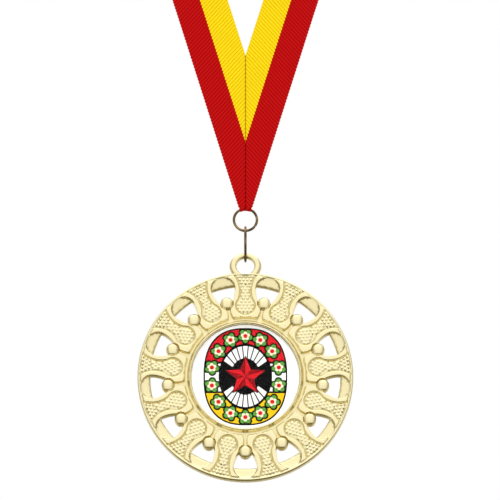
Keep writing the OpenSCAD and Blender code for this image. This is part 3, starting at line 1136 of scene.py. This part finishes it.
def gilt_material():
    """Pale gilt plating: brighter where it is rubbed high up, warmer and duller low down."""
    s = Shader("gilt")
    height = s.math("SUBTRACT", BACK_Y, s.axis("Y"))
    cloud = s.noise(140, 3)
    rubbed = s.math("ADD", s.remap(height, 1.2, 2.5), s.remap(cloud, 0.3, 0.7, -0.2, 0.2), clamp=True)
    colour = s.mix(rubbed, GILT_LOW, GILT_HIGH)
    grain = s.noise(2600, 2)
    rough = s.math("ADD", s.remap(rubbed, 0, 1, 0.34, 0.24), s.remap(grain, 0.3, 0.7, -0.03, 0.03))
    normal = s.bump(grain, 0.003, s.bump(s.noise(500, 2), 0.008))
    return s.principled(Base_Color=colour, Metallic=1.0, Roughness=rough, Normal=normal)


def wire_material():
    """Antique bronze wire: dark in random patches, tan where it is rubbed."""
    s = Shader("antique_bronze")
    worn = s.remap(s.noise(420, 2), 0.35, 0.68)
    colour = s.mix(worn, WIRE_DARK, WIRE_WORN)
    grain = s.noise(5000, 2)
    rough = s.remap(worn, 0, 1, 0.42, 0.25)
    return s.principled(Base_Color=colour, Metallic=1.0, Roughness=rough, Normal=s.bump(grain, 0.004))


def cloth_material(name, crest, groove):
    """Woven ribbon: ribs crossed by fine yarns, with painted shade in the grooves between ribs and between yarns,
    darkest in the sewn seam.
    """
    s = Shader(name)
    weave = s.add("ShaderNodeUVMap", uv_map="weave").outputs[0]
    split = s.add("ShaderNodeSeparateXYZ", {0: weave})
    along, across = split.outputs[0], split.outputs[1]
    # Painted shade: the grooves between the ribs take the darker groove colour, the crests the cloth's own colour.
    hill = s.math("ABSOLUTE", s.math("SINE", s.math("MULTIPLY", along, math.pi)))
    yarn = s.math("ABSOLUTE", s.math("SINE", s.math("MULTIPLY", across, 2.5 * math.pi)))
    streak = s.noise(2.2, 3, 0.6, at=weave)
    lift = s.math("MULTIPLY", streak, 0.5)
    lit = s.math("ADD", s.remap(hill, 0.1, 0.85), s.math("SUBTRACT", lift, 0.25), clamp=True)
    colour = s.mix(lit, groove, crest)
    # Painted shade between the fine yarns that cross the ribs.
    colour = s.mix(s.remap(yarn, 0.0, 0.5, 0.25, 0.0), colour, groove)
    # Painted shade along the sewn seam below the notch, where the cloth is drawn in.
    from_seam = s.math("ABSOLUTE", s.axis("X"))
    low = s.math("LESS_THAN", s.axis("Z"), NOTCH_Z)
    seam = s.math("MULTIPLY", s.remap(from_seam, 0.06, 0.22, 1.0, 0.0), low)
    colour = s.mix(seam, colour, SEAM_SHADE, "MULTIPLY")
    fuzz = s.noise(6000, 2)
    relief_ = s.math("ADD", s.math("MULTIPLY", yarn, 0.5), s.math("MULTIPLY", fuzz, 0.4))
    return s.principled(
        Base_Color=colour, Roughness=s.remap(streak, 0.3, 0.7, 0.7, 0.85), Normal=s.bump(relief_, 0.03),
        Specular_IOR_Level=0.01,
    )


def thread_material():
    """Twisted polyester thread, with painted shade in the grooves of its twist."""
    s = Shader("thread")
    twist = s.math("SINE", s.math("MULTIPLY", s.math("ADD", s.axis("X"), s.axis("Z")), 24.0))
    # Painted shade: darker in the twist's grooves, lighter on its ridges.
    colour = s.mix(s.remap(twist, -1, 1), (0.16, 0.004, 0.006), (0.42, 0.015, 0.02))
    return s.principled(Base_Color=colour, Roughness=0.55, Normal=s.bump(twist, 0.02))


def ink_material(name, colour, gloss=0.35):
    """Printed ink with the slight unevenness of a print."""
    s = Shader(name)
    patch = s.noise(1500, 3)
    darker = tuple(0.95 * c for c in colour)
    shade = s.mix(s.remap(patch, 0.35, 0.65), darker, colour)
    rough = s.remap(s.noise(4000, 1), 0.3, 0.7, gloss - 0.04, gloss + 0.04)
    return s.principled(Base_Color=shade, Roughness=rough, Specular_IOR_Level=0.03)


def pad_material():
    """Open foam of the adhesive pad, with painted shade in the hollows between its cells."""
    s = Shader("foam_pad")
    cells = s.add("ShaderNodeTexVoronoi", {"Vector": s.place, "Scale": 4000}).outputs["Distance"]
    # Painted shade: darker towards the sunken cell edges.
    colour = s.mix(s.remap(cells, 0.1, 0.6), (0.72, 0.72, 0.68), (0.5, 0.5, 0.46))
    return s.principled(Base_Color=colour, Roughness=0.9, Normal=s.bump(cells, -0.05))


def dome_material():
    """Clear resin: see-through, with a faint reflection that grows towards the rim."""
    s = Shader("clear_resin")
    wave = s.bump(s.noise(160, 1), 0.02)
    rough = s.remap(s.noise(700, 2), 0.3, 0.7, 0.04, 0.1)
    clear = s.add("ShaderNodeBsdfTransparent", {"Color": (1, 1, 1, 1)})
    gloss = s.add("ShaderNodeBsdfGlossy", {"Color": (1, 1, 1, 1), "Roughness": rough, "Normal": wave})
    share = s.add("ShaderNodeFresnel", {"IOR": 1.16, "Normal": wave}).outputs[0]
    front = s.math("SUBTRACT", 1.0, s.add("ShaderNodeNewGeometry").outputs["Backfacing"])
    share = s.math("MULTIPLY", share, front)
    return s.finish(s.add("ShaderNodeMixShader", {0: share, 1: clear.outputs[0], 2: gloss.outputs[0]}))


def floor_material():
    s = Shader("floor")
    colour = s.mix(s.noise(3, 2), (0.88, 0.88, 0.87), (0.92, 0.92, 0.91))
    return s.principled(Base_Color=colour, Roughness=0.8)


GILT_HIGH = (0.83, 0.745, 0.455)
GILT_LOW = (0.83, 0.73, 0.42)
WIRE_DARK = (0.10, 0.065, 0.03)
WIRE_WORN = (0.36, 0.26, 0.12)
# Cloth colours: the crest colour is the dye, the groove colour is the dye with painted shade.
RED_CREST = (0.42, 0.006, 0.007)
RED_GROOVE_SHADE = (0.28, 0.0, 0.0)
YELLOW_CREST = (0.8, 0.56, 0.01)
YELLOW_GROOVE_SHADE = (0.54, 0.38, 0.0)
SEAM_SHADE = (0.5, 0.42, 0.42)
INKS = {
    "ink_black": (0.002, 0.002, 0.0025),
    "ink_red": (0.62, 0.012, 0.018),
    "ink_amber": (0.86, 0.53, 0.01),
    "ink_paper": (0.95, 0.95, 0.95),
    "ink_green": (0.10, 0.33, 0.05),
    "ink_cream": (0.82, 0.78, 0.55),
    "ink_dark_red": (0.26, 0.004, 0.008),
    "ink_dark_green": (0.03, 0.13, 0.015),
}


def paint_node(node, material):
    """Gives a node that keeps its own mesh a material."""
    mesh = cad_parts[node].data
    mesh.materials.clear()
    mesh.materials.append(material)


# ---------------------------------------------------------------- camera, light and floor

def make_camera():
    """The photo's view: a long lens, straight in front and 17.5 degrees below."""
    data = bpy.data.cameras.new("camera")
    data.lens = 300
    data.sensor_width = 36
    data.clip_start, data.clip_end = 0.01, 200
    camera = bpy.data.objects.new("camera", data)
    bpy.context.scene.collection.objects.link(camera)
    rise = math.radians(17.5)
    aim = Vector((1.07, RINGS_Y, DISC_Z + 30.8)) * MM
    camera.location = aim + 0.9742 * Vector((0, -math.cos(rise), -math.sin(rise)))
    camera.rotation_euler = (math.pi / 2 + rise, 0, 0)
    bpy.context.scene.camera = camera


def make_world():
    """White to the eye, a studio to what it lights: bright ahead and above, dark below."""
    world = bpy.data.worlds.new("studio")
    bpy.context.scene.world = world
    world.use_nodes = True
    tree = world.node_tree
    tree.nodes.clear()

    def add(kind, inputs, **settings):
        node = tree.nodes.new(kind)
        for key, value in settings.items():
            setattr(node, key, value)
        for key, value in inputs.items():
            if isinstance(value, bpy.types.NodeSocket):
                tree.links.new(value, node.inputs[key])
            else:
                node.inputs[key].default_value = value
        return node

    way = add("ShaderNodeTexCoord", {}).outputs["Generated"]
    split = add("ShaderNodeSeparateXYZ", {0: way})
    side = add("ShaderNodeMath", {0: split.outputs[0]}, operation="ABSOLUTE")

    def fade(value, start, end):
        inputs = {0: value, 1: start, 2: end}
        return add("ShaderNodeMapRange", inputs, interpolation_type="SMOOTHSTEP").outputs[0]

    def blend(share, a, b):
        return add("ShaderNodeMix", {0: share, 6: a, 7: b}, data_type="RGBA").outputs[2]

    sky = blend(fade(split.outputs[2], -0.35, 0.6), SKY_MIDDLE, SKY_FRONT)
    sky = blend(fade(split.outputs[2], 0.7, 0.9), sky, SKY_TOP)
    sky = blend(fade(side.outputs[0], 0.4, 0.95), sky, SKY_SIDE)
    behind = blend(fade(split.outputs[2], -0.34, -0.06), SKY_BEHIND, SKY_BACK)
    sky = blend(fade(split.outputs[1], 0.0, 0.6), sky, behind)
    sky = blend(fade(split.outputs[2], -0.72, -0.38), SKY_LOW, sky)
    seen = add("ShaderNodeLightPath", {}).outputs["Is Camera Ray"]
    colour = blend(seen, sky, (1, 1, 1, 1))
    back = add("ShaderNodeBackground", {"Color": colour, "Strength": 1.0})
    add("ShaderNodeOutputWorld", {"Surface": back.outputs[0]})


SKY_TOP = (1.9, 1.9, 1.85, 1)
SKY_FRONT = (1.25, 1.25, 1.22, 1)
SKY_MIDDLE = (1.12, 1.11, 1.06, 1)
SKY_SIDE = (0.45, 0.43, 0.37, 1)
SKY_BACK = (1.0, 0.98, 0.92, 1)
SKY_BEHIND = (0.42, 0.37, 0.2, 1)
SKY_LOW = (0.16, 0.14, 0.08, 1)


def make_light(name, place, aim, size, power):
    """A soft square light, in metres and watts."""
    data = bpy.data.lights.new(name, "AREA")
    data.size = size
    data.energy = power
    light = bpy.data.objects.new(name, data)
    bpy.context.scene.collection.objects.link(light)
    light.location = place
    light.rotation_euler = (Vector(aim) - Vector(place)).to_track_quat("-Z", "Y").to_euler()
    light.visible_camera = False
    light.visible_glossy = False


def make_floor():
    bm = bmesh.new()
    bmesh.ops.create_circle(bm, cap_ends=True, segments=64, radius=60)
    mesh = bpy.data.meshes.new("floor")
    bm.to_mesh(mesh)
    bm.free()
    floor = bpy.data.objects.new("floor", mesh)
    bpy.context.scene.collection.objects.link(floor)
    floor.location.z = -1.2
    floor.visible_glossy = False
    mesh.materials.append(floor_material())


# ---------------------------------------------------------------- making

red_cloth = cloth_material("red_cloth", RED_CREST, RED_GROOVE_SHADE)
yellow_cloth = cloth_material("yellow_cloth", YELLOW_CREST, YELLOW_GROOVE_SHADE)

make_camera()
red = make_ribbon("ribbon_red", 0, CLOTH_HALF, red_cloth, "ribbon_red_half")
yellow = make_ribbon("ribbon_yellow", -CLOTH_HALF, 0, yellow_cloth, "ribbon_yellow_half")
sewn = [make_allowance([red_cloth, yellow_cloth]), make_tip_fold(red_cloth), make_stitches(thread_material())]

make_casting(gilt_material())
paint_node("insert_disc", ink_material("white_disc", (0.97, 0.97, 0.97), 0.3))
paint_node("insert_adhesive", pad_material())
make_print([ink_material(name, colour) for name, colour in INKS.items()])
make_dome(dome_material())
wire = wire_material()
make_ring("upper_jump_ring", RIBBON_RING_R, RIBBON_RING_GAP, facing, wire, "upper_ring", "ribbon_ring")
make_ring("lower_jump_ring", LINK_RING_R, LINK_RING_GAP, edge_on, wire, "lower_ring", "link_ring")

make_world()
make_floor()
make_light("key", (-0.5, -1.1, 1.4), (0, 0, -0.1), 1.0, 12)
make_light("fill", (1.3, -1.0, 0.5), (0, 0, -0.1), 0.8, 4)
make_light("back", (0.6, 1.3, 1.2), (0, 0, -0.1), 1.0, 4)
bpy.context.scene.view_settings.view_transform = "Standard"
